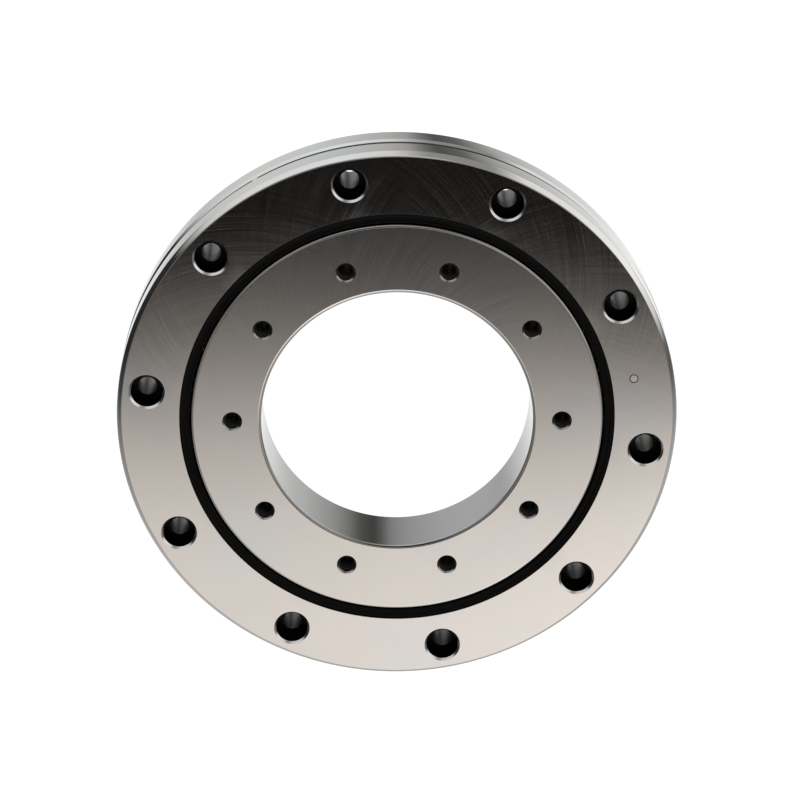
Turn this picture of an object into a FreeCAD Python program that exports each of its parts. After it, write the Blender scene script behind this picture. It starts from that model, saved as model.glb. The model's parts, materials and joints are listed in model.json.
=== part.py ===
"""Crossed roller bearing with mounting holes in both rings and a rubber seal in each face.

The bearing lies on its lower face. +Z is the bearing's axis, the origin is the centre of the lower face,
and +X runs through one of the outer ring's mounting holes. All lengths are millimetres, angles degrees.
"""

import FreeCAD, Part
import math
import os

import Sketcher

Vector = FreeCAD.Vector

# Driving dimensions: name, value, what it is
SIZES = [
    ("bore_diameter", 80, "hole of the inner ring"),
    ("outside_diameter", 165, "outside of the outer ring"),
    ("width", 22, "both rings, face to face"),
    ("pitch_shift", 0.75, "pitch circle of the rollers, outwards from midway between bore and outside"),
    ("roller_count", 36, "rollers, an even number because they cross by turns"),
    ("roller_diameter", 8, "one roller"),
    ("roller_shortness", 0.3, "a roller's length stays this much under its diameter"),
    ("roller_chamfer", 0.4, "at both ends of a roller"),
    ("running_clearance", 0.04, "between a roller's side and each raceway"),
    ("raceway_relief_width", 1.6, "turned out of the V's root"),
    ("raceway_relief_depth", 0.5, "below the V's root"),
    ("inner_shoulder_inset", 1.25, "from the pitch circle in to the outside of the inner ring"),
    ("inner_shoulder_chamfer", 0.75, "edge of the inner ring beside the seal"),
    ("outer_land_offset", 1.2, "from the pitch circle out to the outer ring's bore beside its raceway"),
    ("seal_mouth_offset", 1.9, "from the pitch circle out to the outer ring's bore at its faces"),
    ("seal_mouth_chamfer", 0.3, "edge of the outer ring beside the seal"),
    ("seal_groove_reach", 0.7, "groove that holds the seal's rim, into the outer ring from its mouth"),
    ("seal_groove_depth", 1.2, "from the face to the groove"),
    ("seal_groove_width", 1.4, "along the axis"),
    ("seal_fit", 0.02, "play of the seal's rim in its groove"),
    ("seal_recess", 0.45, "from the face down to the seal's crest"),
    ("seal_valley", 0.4, "from the crest down to the valley"),
    ("lip_gap", 0.3, "from the seal's lip to the inner ring"),
    ("lip_bead_width", 0.8, "rounded bead at the lip"),
    ("lip_height", 1.9, "lip, along the axis"),
    ("lip_rounding", 0.25, "edges of the bead"),
    ("rim_ridge_width", 0.9, "flat ridge beside the outer ring"),
    ("valley_slope", 0.35, "across each side of the valley"),
    ("bore_chamfer", 1.15, "both ends of the bore"),
    ("rim_chamfer_across", 1.35, "outer edges, along the radius"),
    ("rim_chamfer_along", 1.85, "outer edges, along the axis"),
    ("oil_groove_width", 4.4, "round the outside, at its mouth"),
    ("oil_groove_depth", 0.65, "flanks at 45 degrees"),
    ("grease_hole_diameter", 2, "from the oil groove to the raceway"),
    ("grease_hole_chamfer", 0.5, "mouth of a grease hole"),
    ("grease_hole_angle", 127.3, "first grease hole, the other is opposite"),
    ("outer_hole_count", 10, "counterbored holes of the outer ring"),
    ("outer_hole_shift", 1.75, "their circle, outwards from midway between pitch circle and outside"),
    ("outer_hole_diameter", 5.5, "clears an M5 screw"),
    ("counterbore_diameter", 9.5, "takes the screw's head"),
    ("counterbore_depth", 5.4, "takes the screw's head"),
    ("counterbore_chamfer", 0.6, "mouth of the counterbore"),
    ("outer_hole_chamfer", 0.4, "mouth in the lower face"),
    ("inner_hole_count", 10, "tapped holes of the inner ring"),
    ("inner_hole_shift", 2.5, "their circle, inwards from midway between bore and pitch circle"),
    ("inner_hole_diameter", 4.2, "core of an M5 thread"),
    ("inner_hole_chamfer", 0.85, "both mouths"),
    ("inner_ring_index", 7.24, "how far the inner ring stands turned"),
    ("plug_margin", 4, "filling plug over a roller's diameter, so that a roller's corners pass"),
    ("plug_fit", 0.01, "all round the plug and the pin"),
    ("pin_wall", 1.187, "from the raceway's relief out to the locking pin"),
    ("pin_diameter", 2.4, "locking pin"),
    ("pin_length", 15, "through the ring and the plug"),
    ("pin_chamfer", 0.2, "both ends of the pin"),
    ("separator_thickness", 5.2, "horn to horn, along the pitch circle"),
    ("separator_clearance", 0.25, "from a separator to each raceway"),
    ("separator_pocket_clearance", 0.15, "from a separator's hollow to its roller"),
]

# Everything between the bore and the outside takes its place from these, so it moves with them
MIDDLE = "Sizes.width / 2"
BORE = "Sizes.bore_diameter / 2"
OUTSIDE = "Sizes.outside_diameter / 2"
PITCH_RADIUS = f"(({BORE} + {OUTSIDE}) / 2 + Sizes.pitch_shift)"
SHOULDER = f"({PITCH_RADIUS} - Sizes.inner_shoulder_inset)"
OUTER_LAND = f"({PITCH_RADIUS} + Sizes.outer_land_offset)"
SEAL_MOUTH = f"({PITCH_RADIUS} + Sizes.seal_mouth_offset)"
SEAL_GROOVE = f"({SEAL_MOUTH} + Sizes.seal_groove_reach)"
SEAL_GROOVE_END = "(Sizes.seal_groove_depth + Sizes.seal_groove_width)"
ROLLER_LENGTH = "(Sizes.roller_diameter - Sizes.roller_shortness)"
PLUG_DIAMETER = "(Sizes.roller_diameter + Sizes.plug_margin)"
# Square root of two: from the distance of the V's sides to the distance of its root
ROOT_REACH = "(Sizes.roller_diameter / 2 + Sizes.running_clearance) * sqrt(2)"
OIL_GROOVE_FLOOR = f"({OUTSIDE} - Sizes.oil_groove_depth)"
OUTER_HOLES = f"(({PITCH_RADIUS} + {OUTSIDE}) / 2 + Sizes.outer_hole_shift)"
INNER_HOLES = f"(({BORE} + {PITCH_RADIUS}) / 2 - Sizes.inner_hole_shift)"
PIN_PLACE = f"({PITCH_RADIUS} + {ROOT_REACH} + Sizes.raceway_relief_depth + Sizes.pin_wall" \
            " + Sizes.pin_diameter / 2)"
ROLLER_PITCH = "360 / Sizes.roller_count"
PLUG_ANGLE = "180 / Sizes.outer_hole_count"

# Where a sketch's outline stands before its constraints move it: centre and radius
START_X, START_Y, START_RADIUS = 50, 11, 9
# Two lengths that differ by less are the same
SAME = 1e-4

os.makedirs("parts", exist_ok=True)
doc = FreeCAD.newDocument("crossed_roller_bearing")


def fill_sheet():
    """Put the driving dimensions into the document's spreadsheet."""
    sheet = doc.addObject("Spreadsheet::Sheet", "Sizes")
    for row, (alias, value, note) in enumerate(SIZES, start=1):
        sheet.set(f"A{row}", alias)
        sheet.set(f"B{row}", str(value))
        sheet.set(f"C{row}", note)
        sheet.setAlias(f"B{row}", alias)
    doc.recompute()
    return sheet


sheet = fill_sheet()


def bind(thing, **formulas):
    """Bind properties of an object to formulas in the sheet's names."""
    for name, formula in formulas.items():
        thing.setExpression(name.replace("__", "."), formula)


def turned(angle, across="0", up="0", tilt="0"):
    """Formula of a placement: out along +X by across, up by up, tilted about +Y, then turned about +Z."""
    turn = f"create(<<rotation>>; create(<<vector>>; 0; 0; 1); {angle})"
    lean = f"create(<<rotation>>; create(<<vector>>; 0; 1; 0); {tilt})"
    start = "create(<<vector>>; 0; 0; 0)"
    place = f"create(<<vector>>; {across}; 0; {up})"
    return f"create(<<placement>>; {start}; {turn}) * create(<<placement>>; {place}; {lean})"


def origin_feature(body, role):
    """One of a body's own origin planes or axes."""
    return next(feature for feature in body.Origin.OriginFeatures if feature.Role == role)


def new_body(label):
    body = doc.addObject("PartDesign::Body", label)
    body.Label = label
    return body


def section(body, name, corners, across):
    """A closed outline on the body's XZ plane, each corner bound to formulas of (radius, height).

    The radii are measured from a line parallel to the body's Z axis, moved along +X by across.
    """
    sketch = body.newObject("Sketcher::SketchObject", name)
    sketch.AttachmentSupport = (origin_feature(body, "XZ_Plane"), [""])
    sketch.MapMode = "FlatFace"
    bind(sketch, AttachmentOffset__Base__x=across)
    count = len(corners)
    turn = 2 * math.pi / count
    start = [Vector(START_X + START_RADIUS * math.cos(turn * n),
                    START_Y + START_RADIUS * math.sin(turn * n), 0) for n in range(count)]
    for n in range(count):
        sketch.addGeometry(Part.LineSegment(start[n], start[(n + 1) % count]), False)
    for n in range(count):
        sketch.addConstraint(Sketcher.Constraint("Coincident", n, 2, (n + 1) % count, 1))
    for n, (radius, height) in enumerate(corners):
        pin_corner(sketch, n, "DistanceX", radius, start[n].x, -2)
        pin_corner(sketch, n, "DistanceY", height, start[n].y, -1)
    return sketch


def pin_corner(sketch, corner, kind, formula, value, axis):
    """Fix one coordinate of a corner to a formula, or put the corner on the sketch's axis."""
    if formula == "0":
        sketch.addConstraint(Sketcher.Constraint("PointOnObject", corner, 1, axis))
        return
    index = sketch.addConstraint(Sketcher.Constraint(kind, -1, 1, corner, 1, value))
    sketch.setExpression(f"Constraints[{index}]", formula)


def revolve(body, kind, name, corners, across="0"):
    """Turn a section about its own axis, as new metal (Revolution) or as a cut (Groove)."""
    sketch = section(body, name + "_section", corners, across)
    feature = body.newObject("PartDesign::" + kind, name)
    feature.Profile = sketch
    feature.ReferenceAxis = (sketch, ["V_Axis"])
    feature.Angle = 360
    doc.recompute()
    return feature


def break_mouth(body, name, across, diameter, chamfer, face, inside):
    """Break one mouth of a hole with a cone on the hole's axis, from the face to its inside height."""
    radius = f"{diameter} / 2"
    return revolve(body, "Groove", name, [
        ("0", inside),
        (radius, inside),
        (f"{radius} + {chamfer}", face),
        ("0", face),
    ], across)


def drill(body, name, across, diameter, count, upper_mouth, lower_mouth, **cut):
    """A pattern of holes down through the upper face, the first one out along the body's +X by across.

    Each mouth is given as (diameter, chamfer).
    """
    sketch = body.newObject("Sketcher::SketchObject", name + "_centre")
    sketch.AttachmentSupport = (origin_feature(body, "XY_Plane"), [""])
    sketch.MapMode = "FlatFace"
    bind(sketch, AttachmentOffset__Base__z="Sizes.width")
    sketch.addGeometry(Part.Circle(Vector(START_X, 0, 0), Vector(0, 0, 1), START_RADIUS), False)
    sketch.addConstraint(Sketcher.Constraint("PointOnObject", 0, 3, -1))
    place = sketch.addConstraint(Sketcher.Constraint("DistanceX", -1, 1, 0, 3, START_X))
    radius = sketch.addConstraint(Sketcher.Constraint("Radius", 0, START_RADIUS))
    sketch.setExpression(f"Constraints[{place}]", across)
    sketch.setExpression(f"Constraints[{radius}]", f"{diameter} / 2")
    doc.recompute()

    hole = body.newObject("PartDesign::Hole", name)
    hole.Profile = sketch
    doc.recompute()
    hole.ThreadType = "None"
    hole.DepthType = "ThroughAll"
    hole.DrillPoint = "Flat"
    bind(hole, Diameter=diameter)
    hole.HoleCutType = cut.pop("cut_type", "None")
    if cut:
        hole.HoleCutCustomValues = True
        bind(hole, **cut)
    doc.recompute()

    upper_diameter, upper_chamfer = upper_mouth
    lower_diameter, lower_chamfer = lower_mouth
    upper = break_mouth(body, name + "_upper_mouth", across, upper_diameter, upper_chamfer,
                        "Sizes.width", f"Sizes.width - {upper_chamfer}")
    lower = break_mouth(body, name + "_lower_mouth", across, lower_diameter, lower_chamfer,
                        "0", lower_chamfer)

    pattern = body.newObject("PartDesign::PolarPattern", name + "_circle")
    pattern.Originals = [hole, upper, lower]
    pattern.Axis = (origin_feature(body, "Z_Axis"), [""])
    pattern.Angle = 360
    bind(pattern, Occurrences=count)
    body.Tip = pattern
    doc.recompute()
    return pattern


def size(formula):
    """The present value of a formula in the sheet's names."""
    probe = doc.addObject("App::FeaturePython", "Probe")
    probe.addProperty("App::PropertyFloat", "Result")
    probe.setExpression("Result", formula)
    doc.recompute()
    result = probe.Result
    doc.removeObject(probe.Name)
    return result


def circles(shape, radius, height):
    """Names of a shape's round edges of one radius at one height."""
    names = []
    for n, edge in enumerate(shape.Edges, start=1):
        if edge.Curve.TypeId != "Part::GeomCircle":
            continue
        same_radius = abs(edge.Curve.Radius - radius) < SAME
        same_height = abs(edge.Curve.Center.z - height) < SAME
        if same_radius and same_height:
            names.append(f"Edge{n}")
    return names


def round_edges(body, name, rounding, spots):
    """Fillet the round edges at each (radius, height) formula."""
    base = body.Tip
    edges = []
    for radius, height in spots:
        edges += circles(base.Shape, size(radius), size(height))
    feature = body.newObject("PartDesign::Fillet", name)
    feature.Base = (base, edges)
    bind(feature, Radius=rounding)
    doc.recompute()
    return feature


def raceway(body, side):
    """Cut the 90 degree V and the relief at its root. side is + for the outer ring, - for the inner."""
    root = f"({PITCH_RADIUS} {side} {ROOT_REACH})"
    relief_floor = f"({root} {side} Sizes.raceway_relief_depth)"
    relief_half = "Sizes.raceway_relief_width / 2"
    relief_edge = f"({root} - {relief_half})" if side == "+" else f"({root} + {relief_half})"
    revolve(body, "Groove", "raceway", [
        (PITCH_RADIUS, f"{MIDDLE} - {ROOT_REACH}"),
        (relief_edge, f"{MIDDLE} - {relief_half}"),
        (relief_floor, f"{MIDDLE} - {relief_half}"),
        (relief_floor, f"{MIDDLE} + {relief_half}"),
        (relief_edge, f"{MIDDLE} + {relief_half}"),
        (PITCH_RADIUS, f"{MIDDLE} + {ROOT_REACH}"),
    ])


def outer_ring_turned(label):
    """The outer ring as it leaves the lathe, before any hole: section, raceway and oil groove."""
    body = new_body(label)
    lower = [
        (OUTER_LAND, SEAL_GROOVE_END),
        (SEAL_GROOVE, SEAL_GROOVE_END),
        (SEAL_GROOVE, "Sizes.seal_groove_depth"),
        (SEAL_MOUTH, "Sizes.seal_groove_depth"),
        (SEAL_MOUTH, "Sizes.seal_mouth_chamfer"),
        (f"{SEAL_MOUTH} + Sizes.seal_mouth_chamfer", "0"),
        (f"{OUTSIDE} - Sizes.rim_chamfer_across", "0"),
        (OUTSIDE, "Sizes.rim_chamfer_along"),
    ]
    upper = [(radius, "Sizes.width" if height == "0" else f"Sizes.width - {height}")
             for radius, height in reversed(lower)]
    revolve(body, "Revolution", "blank", lower + upper)
    raceway(body, "+")

    half_mouth = "Sizes.oil_groove_width / 2"
    half_floor = f"({half_mouth} - Sizes.oil_groove_depth)"
    # The cut's outline stands one depth proud of the rim, along the flanks
    proud = f"{OUTSIDE} + Sizes.oil_groove_depth"
    half_proud = f"({half_mouth} + Sizes.oil_groove_depth)"
    revolve(body, "Groove", "oil_groove", [
        (proud, f"{MIDDLE} - {half_proud}"),
        (OIL_GROOVE_FLOOR, f"{MIDDLE} - {half_floor}"),
        (OIL_GROOVE_FLOOR, f"{MIDDLE} + {half_floor}"),
        (proud, f"{MIDDLE} + {half_proud}"),
    ])
    return body


def radial_cylinder(name, diameter, angle):
    """A round tool along a radius at mid width, from the pitch circle to its own width past the rim."""
    tool = doc.addObject("Part::Cylinder", name)
    bind(tool, Radius=f"{diameter} / 2", Height=f"{OUTSIDE} - {PITCH_RADIUS} + {diameter}",
         Placement=turned(angle, PITCH_RADIUS, MIDDLE, "90"))
    return tool


def pin_tool(name, extra):
    """The locking pin's own space, or its bore when extra is the fit, down from the upper face."""
    tool = doc.addObject("Part::Cylinder", name)
    bind(tool, Radius=f"Sizes.pin_diameter / 2 + {extra}", Height="Sizes.pin_length",
         Placement=turned(PLUG_ANGLE, PIN_PLACE, "Sizes.width - Sizes.pin_length"))
    return tool


def mouth_tool(name, angle):
    """A cone that breaks the mouth of a grease hole on the oil groove's floor."""
    tool = doc.addObject("Part::Cone", name)
    radius = "Sizes.grease_hole_diameter / 2"
    bind(tool, Radius1=radius, Radius2=f"{radius} + 2 * Sizes.grease_hole_chamfer",
         Height="2 * Sizes.grease_hole_chamfer",
         Placement=turned(angle, f"{OIL_GROOVE_FLOOR} - Sizes.grease_hole_chamfer", MIDDLE, "90"))
    return tool


def boolean(kind, label, first, second):
    result = doc.addObject("Part::" + kind, label)
    result.Label = label
    result.Base = first
    result.Tool = second
    return result


def make_outer_ring():
    body = outer_ring_turned("outer_ring_body")
    drill(body, "mounting_hole", OUTER_HOLES, "Sizes.outer_hole_diameter", "Sizes.outer_hole_count",
          ("Sizes.counterbore_diameter", "Sizes.counterbore_chamfer"),
          ("Sizes.outer_hole_diameter", "Sizes.outer_hole_chamfer"), cut_type="Counterbore",
          HoleCutDiameter="Sizes.counterbore_diameter", HoleCutDepth="Sizes.counterbore_depth")

    first = "Sizes.grease_hole_angle"
    second = "Sizes.grease_hole_angle + 180"
    tools = doc.addObject("Part::MultiFuse", "outer_ring_bores")
    tools.Shapes = [
        radial_cylinder("plug_bore", PLUG_DIAMETER, PLUG_ANGLE),
        pin_tool("pin_bore", "Sizes.plug_fit"),
        radial_cylinder("grease_hole_1", "Sizes.grease_hole_diameter", first),
        radial_cylinder("grease_hole_2", "Sizes.grease_hole_diameter", second),
        mouth_tool("grease_mouth_1", first),
        mouth_tool("grease_mouth_2", second),
    ]
    return boolean("Cut", "outer_ring", body, tools)


def make_filling_plug():
    """The plug is finished with the ring, so both its ends carry on the ring's own section."""
    section_body = outer_ring_turned("filling_plug_body")
    round_plug = radial_cylinder("round_plug", f"({PLUG_DIAMETER} - 2 * Sizes.plug_fit)", PLUG_ANGLE)
    plug = boolean("Common", "filling_plug_undrilled", section_body, round_plug)
    return boolean("Cut", "filling_plug", plug, pin_tool("pin_bore_in_plug", "Sizes.plug_fit"))


def make_locking_pin():
    body = new_body("locking_pin")
    radius = "Sizes.pin_diameter / 2"
    revolve(body, "Revolution", "pin", [
        ("0", "0"),
        (f"{radius} - Sizes.pin_chamfer", "0"),
        (radius, "Sizes.pin_chamfer"),
        (radius, "Sizes.pin_length - Sizes.pin_chamfer"),
        (f"{radius} - Sizes.pin_chamfer", "Sizes.pin_length"),
        ("0", "Sizes.pin_length"),
    ])
    bind(body, Placement=turned(PLUG_ANGLE, PIN_PLACE, "Sizes.width - Sizes.pin_length"))
    return body


def make_inner_ring():
    body = new_body("inner_ring")
    lower = [
        (SHOULDER, "Sizes.inner_shoulder_chamfer"),
        (f"{SHOULDER} - Sizes.inner_shoulder_chamfer", "0"),
        (f"{BORE} + Sizes.bore_chamfer", "0"),
        (BORE, "Sizes.bore_chamfer"),
    ]
    upper = [(radius, "Sizes.width" if height == "0" else f"Sizes.width - {height}")
             for radius, height in reversed(lower)]
    revolve(body, "Revolution", "blank", lower + upper)
    raceway(body, "-")
    mouth = ("Sizes.inner_hole_diameter", "Sizes.inner_hole_chamfer")
    drill(body, "tapped_hole", INNER_HOLES, "Sizes.inner_hole_diameter", "Sizes.inner_hole_count",
          mouth, mouth)
    bind(body, Placement=turned("Sizes.inner_ring_index"))
    return body


def make_seal(label, placement):
    """A moulded ring. In its own frame its outward side faces up and the ring's face is at height 0."""
    body = new_body(label)
    rim = f"{SEAL_GROOVE} - Sizes.seal_fit"
    neck = f"{SEAL_MOUTH} - Sizes.seal_fit"
    lip = f"{SHOULDER} + Sizes.lip_gap"
    crest = "-Sizes.seal_recess"
    valley = "-Sizes.seal_recess - Sizes.seal_valley"
    rim_top = "-Sizes.seal_groove_depth - Sizes.seal_fit"
    rim_foot = f"-{SEAL_GROOVE_END} + Sizes.seal_fit"
    lip_foot = "-Sizes.seal_recess - Sizes.lip_height"
    bead_end = f"{lip} + Sizes.lip_bead_width"
    ridge_start = f"{neck} - Sizes.rim_ridge_width"
    revolve(body, "Revolution", "moulding", [
        (lip, lip_foot),
        (lip, crest),
        (bead_end, crest),
        (f"{bead_end} + Sizes.valley_slope", valley),
        (f"{ridge_start} - Sizes.valley_slope", valley),
        (ridge_start, crest),
        (neck, crest),
        (neck, rim_top),
        (rim, rim_top),
        (rim, rim_foot),
        (bead_end, rim_foot),
    ])
    round_edges(body, "bead_rounding", "Sizes.lip_rounding", [(lip, crest), (bead_end, crest)])
    bind(body, Placement=placement)
    return body


def make_roller(number):
    """One roller. Its axis leans 45 degrees out of the bearing's, by turns one way and the other."""
    body = new_body(f"roller_{number:02d}")
    radius = "Sizes.roller_diameter / 2"
    half = f"{ROLLER_LENGTH} / 2"
    end_radius = f"{radius} - Sizes.roller_chamfer"
    revolve(body, "Revolution", "roller", [
        ("0", f"-{half}"),
        (end_radius, f"-{half}"),
        (radius, f"-{half} + Sizes.roller_chamfer"),
        (radius, f"{half} - Sizes.roller_chamfer"),
        (end_radius, half),
        ("0", half),
    ])
    bind(body, Placement=turned(f"{number - 1} * {ROLLER_PITCH}", PITCH_RADIUS, MIDDLE, lean(number)))
    return body


def lean(number):
    return "45" if number % 2 else "-45"


def separator_tool(name, angle, tilt):
    """The hollow that one neighbouring roller leaves in a separator."""
    tool = doc.addObject("Part::Cylinder", name)
    length = f"2 * {ROLLER_LENGTH}"
    place = turned(angle, PITCH_RADIUS, MIDDLE, tilt)
    centred = f"create(<<placement>>; create(<<vector>>; 0; 0; -{ROLLER_LENGTH}); " \
              "create(<<rotation>>; create(<<vector>>; 0; 0; 1); 0))"
    bind(tool, Radius="Sizes.roller_diameter / 2 + Sizes.separator_pocket_clearance", Height=length,
         Placement=f"{place} * {centred}")
    return tool


def make_separator(name, first_tilt, second_tilt):
    """A block between two crossed rollers, square to the raceways and hollowed on both sides."""
    block = doc.addObject("Part::Box", name + "_block")
    side = "(Sizes.roller_diameter + 2 * Sizes.running_clearance - 2 * Sizes.separator_clearance)"
    centred = f"create(<<placement>>; create(<<vector>>; -{side} / 2; -Sizes.separator_thickness / 2; " \
              f"-{side} / 2); create(<<rotation>>; create(<<vector>>; 0; 0; 1); 0))"
    bind(block, Length=side, Width="Sizes.separator_thickness", Height=side,
         Placement=f"{turned('0', PITCH_RADIUS, MIDDLE, '45')} * {centred}")
    hollows = doc.addObject("Part::MultiFuse", name + "_hollows")
    hollows.Shapes = [
        separator_tool(name + "_hollow_1", f"-{ROLLER_PITCH} / 2", first_tilt),
        separator_tool(name + "_hollow_2", f"{ROLLER_PITCH} / 2", second_tilt),
    ]
    return boolean("Cut", name, block, hollows)


def make_separators():
    """One separator after each roller. There are two kinds, because the rollers on either side swap."""
    kinds = [make_separator("separator_after_odd", "45", "-45"),
             make_separator("separator_after_even", "-45", "45")]
    doc.recompute()
    pitch = size(ROLLER_PITCH)
    copies = []
    for number in range(int(sheet.roller_count)):
        copy = kinds[number % 2].Shape.copy()
        copy.rotate(Vector(0, 0, 0), Vector(0, 0, 1), (number + 0.5) * pitch)
        copies.append(copy)
    group = doc.addObject("Part::Feature", "roller_separators")
    group.Shape = Part.makeCompound(copies)
    return group


def check(parts):
    """Stop if anything in the document failed, or if a part isn't sound."""
    for thing in doc.Objects:
        if "Invalid" in thing.State or "Error" in thing.State:
            raise RuntimeError(f"{thing.Label} didn't compute: {thing.State}")
    for part in parts:
        if part.Shape.isNull() or not part.Shape.isValid() or not part.Shape.Solids:
            raise RuntimeError(f"{part.Label} isn't a sound solid")


parts = [make_outer_ring(), make_filling_plug(), make_locking_pin(), make_inner_ring()]
parts.append(make_seal("upper_seal", turned("0", "0", "Sizes.width")))
parts.append(make_seal("lower_seal", turned("0", "0", "0", "180")))
parts += [make_roller(number) for number in range(1, int(sheet.roller_count) + 1)]
parts.append(make_separators())
doc.recompute()
check(parts)
for part in parts:
    part.Shape.exportStep(f"parts/{part.Label}.step")
    print(f"{part.Label}: {len(part.Shape.Solids)} solid, {part.Shape.Volume:.1f} mm3")
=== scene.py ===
"""Looks of a crossed roller bearing: ground rings, black seals, and a studio like the photograph's.

All lengths are metres. +Z is the bearing's axis, and the origin is the centre of its lower face.
"""

import json
import math

import bpy
from mathutils import Matrix, Vector


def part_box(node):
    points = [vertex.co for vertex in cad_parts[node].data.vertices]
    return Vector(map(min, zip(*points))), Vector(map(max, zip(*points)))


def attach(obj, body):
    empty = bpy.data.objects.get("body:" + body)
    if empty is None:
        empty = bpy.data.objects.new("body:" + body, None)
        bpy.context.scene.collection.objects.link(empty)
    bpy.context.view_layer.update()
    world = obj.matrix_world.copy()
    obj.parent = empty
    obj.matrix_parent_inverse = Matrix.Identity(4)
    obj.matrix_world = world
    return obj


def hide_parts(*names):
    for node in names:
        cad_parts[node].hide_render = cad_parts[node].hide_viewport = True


bl_info = {
    "name": "Crossed Roller Bearing",
    "version": (1, 0, 0),
    "blender": (4, 5, 0),
    "location": "View3D > Sidebar > Bearing",
    "description": "Builds the visible pieces of a crossed roller bearing around its packed model",
    "category": "Add Mesh",
}

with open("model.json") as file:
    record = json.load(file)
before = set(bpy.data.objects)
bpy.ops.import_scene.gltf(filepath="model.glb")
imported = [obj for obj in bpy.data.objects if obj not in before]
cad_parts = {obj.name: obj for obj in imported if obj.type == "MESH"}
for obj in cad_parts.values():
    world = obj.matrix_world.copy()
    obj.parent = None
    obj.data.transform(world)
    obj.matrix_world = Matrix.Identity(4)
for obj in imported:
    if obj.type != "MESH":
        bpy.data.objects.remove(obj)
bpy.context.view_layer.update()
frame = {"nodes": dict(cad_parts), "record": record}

MM = 0.001
MICRON = 0.000001
_, OUTER_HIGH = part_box("outer_ring")
PIN_LOW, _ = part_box("locking_pin")
MOUNTS = {mount["name"]: mount for mount in frame["record"]["mounts"]}

# Segments round a turned piece, a hole and a thread
RING_SEGMENTS = 360
HOLE_SEGMENTS = 72
THREAD_SEGMENTS = 36
SMOOTH_ANGLE = math.radians(28)
# How much more a large face counts in the shading than a small one beside it, of 100
FLAT_WEIGHT = 100
# Steps across a rounded chamfer, and the strip of flat face beside it that keeps the rest's shading flat
CHAMFER_STEPS = 6
FACE_STRIP = 0.2 * MM
# Steps round the seal's bead
BEAD_STEPS = 8
# How far a drill stands past the faces, and the plug's tool past the rim
DRILL_PROUD = 1 * MM
PLUG_PROUD = 5 * MM
# The thread's ridge: half its width at the root and at the crest, as parts of the pitch, how deep its root
# lies in the ring, and how far behind the mouths' chamfers it ends
RIDGE_ROOT = 0.42
RIDGE_CREST = 0.06
RIDGE_EMBED = 0.05 * MM
RIDGE_INSET = 0.1 * MM


def length(name, default, description):
    """A size that a user can change, shown in the scene's length unit."""
    return bpy.props.FloatProperty(name=name, default=default, description=description,
                                   subtype="DISTANCE", unit="LENGTH", min=0, precision=5)


def mm(name, default, description):
    """A length whose default is written in millimetres."""
    return length(name, default * MM, description)


def number(name, default, description, high=1000.0):
    return bpy.props.FloatProperty(name=name, default=default, description=description, min=0, max=high)


def count(name, default, description):
    return bpy.props.IntProperty(name=name, default=default, description=description, min=1)


def turn(name, degrees, description):
    return bpy.props.FloatProperty(name=name, default=math.radians(degrees), description=description,
                                   subtype="ANGLE", unit="ROTATION")


def colour(name, default, description):
    return bpy.props.FloatVectorProperty(name=name, default=default, description=description,
                                         subtype="COLOR", size=3, min=0, max=1)


class BearingRingSizes(bpy.types.PropertyGroup):
    """Sizes of the two rings."""

    outside: length("Outside radius", OUTER_HIGH.x, "Rim of the outer ring")
    width: length("Width", OUTER_HIGH.z, "Both rings, face to face")
    bore: length("Bore radius", MOUNTS["bore"]["dims"]["r_mm"] * MM, "Hole of the inner ring")
    shoulder: mm("Shoulder radius", 60.75, "Outside of the inner ring")
    shoulder_chamfer: mm("Shoulder chamfer", 0.75, "Edge of the inner ring beside the seal")
    bore_chamfer_across: mm("Bore chamfer across", 0.8, "Along the radius")
    bore_chamfer_along: mm("Bore chamfer along", 0.42, "Along the axis")
    rim_chamfer_across: mm("Rim chamfer across", 1.35, "Along the radius")
    rim_chamfer_along: mm("Rim chamfer along", 1.85, "Along the axis")
    oil_groove_width: mm("Oil groove width", 4.4, "At its mouth")
    oil_groove_depth: mm("Oil groove depth", 0.65, "Flanks at 45 degrees")
    seal_mouth: mm("Seal mouth radius", 63.9, "Bore of the outer ring at its faces")
    seal_mouth_chamfer: mm("Seal mouth chamfer", 0.12, "Edge beside the seal")
    seal_groove: mm("Seal groove radius", 64.6, "Groove that holds the seal's rim")
    seal_groove_depth: mm("Seal groove depth", 1.2, "From the face to the groove")
    seal_groove_width: mm("Seal groove width", 1.4, "Along the axis")
    outer_land: mm("Outer land radius", 63.2, "Bore of the outer ring beside its raceway")
    pitch: mm("Pitch radius", 62, "Circle of the rollers' centres")
    root_reach: mm("Raceway reach", 5.714, "From the pitch circle to the V's root")
    relief: mm("Relief", 0.8, "Half the width of the relief at the V's root")
    relief_depth: mm("Relief depth", 0.5, "Past the V's root")
    edge_rounding: mm("Edge rounding", 0.05, "Every turned edge is broken by this")
    chamfer_roundness: number("Chamfer roundness", 0.35, "0 is a flat chamfer, 1 a rounded edge", 1)
    bore_roundness: number("Bore chamfer roundness", 0.45, "As above, for the bore's chamfers", 1)
    shoulder_roundness: number("Shoulder roundness", 0.6, "As above, for the shoulder chamfer", 1)


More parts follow.
